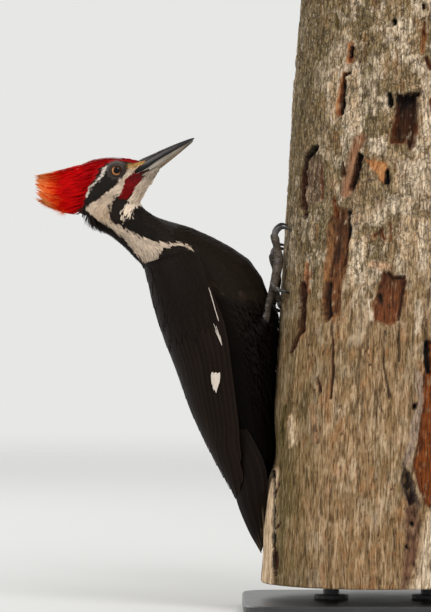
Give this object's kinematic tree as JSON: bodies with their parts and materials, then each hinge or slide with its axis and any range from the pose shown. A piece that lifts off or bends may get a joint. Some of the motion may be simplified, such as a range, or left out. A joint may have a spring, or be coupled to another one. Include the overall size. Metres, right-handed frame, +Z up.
{
  "type": "pileated woodpecker",
  "caption": "Life-size still model of a male pileated woodpecker with a full red crest, clinging upright to a short cut length of dead trunk that a plain flat stand holds.",
  "frame": {"origin": "centre of the underside of the stand's plate, on the floor", "axes": "+Z up along the trunk; +X from the bird towards the trunk it clings to; the bird's right side faces -Y, and its own left-right mirror plane is Y = 0"},
  "size_m": [0.4442, 0.216, 0.532],
  "materials": {
    "feather_black": "matt black plumage with a faint brown sheen",
    "feather_face": "short soft face plumage, cream with dark grey, black and red marks",
    "feather_red": "long hair-like scarlet feathers with orange tips",
    "bill_slate": "slate horn, satin, with fine pale streaks",
    "bill_pale": "pale blue-grey horn, satin",
    "eye": "wet and glossy, orange-tan iris round a black pupil",
    "scaly_skin": "slate-grey scaly skin",
    "claw": "dark horn, satin",
    "dead_wood": "weathered bare wood, rough, grey-beige with brown rot and pale lichen",
    "stand_black": "satin black steel"
  },
  "bodies": {
    "root": {"head": "feather_face", "crest": "feather_red", "neck": "feather_black", "trunk": "feather_black", "wing_right": "feather_black", "wing_left": "feather_black", "tail": "feather_black", "thigh_right": "feather_black", "thigh_left": "feather_black", "bill_upper": "bill_slate", "bill_lower": "bill_pale", "eye_right": "eye", "eye_left": "eye", "shank_right": "scaly_skin", "toe_inner_right": "scaly_skin", "toe_outer_right": "scaly_skin", "toe_side_right": "scaly_skin", "toe_rear_right": "scaly_skin", "claw_inner_right": "claw", "claw_outer_right": "claw", "claw_side_right": "claw", "claw_rear_right": "claw", "shank_left": "scaly_skin", "toe_inner_left": "scaly_skin", "toe_outer_left": "scaly_skin", "toe_side_left": "scaly_skin", "toe_rear_left": "scaly_skin", "claw_inner_left": "claw", "claw_outer_left": "claw", "claw_side_left": "claw", "claw_rear_left": "claw", "perch": "dead_wood", "stand_base": "stand_black", "stand_rod_1": "stand_black", "stand_rod_2": "stand_black"}
  },
  "joints": []
}
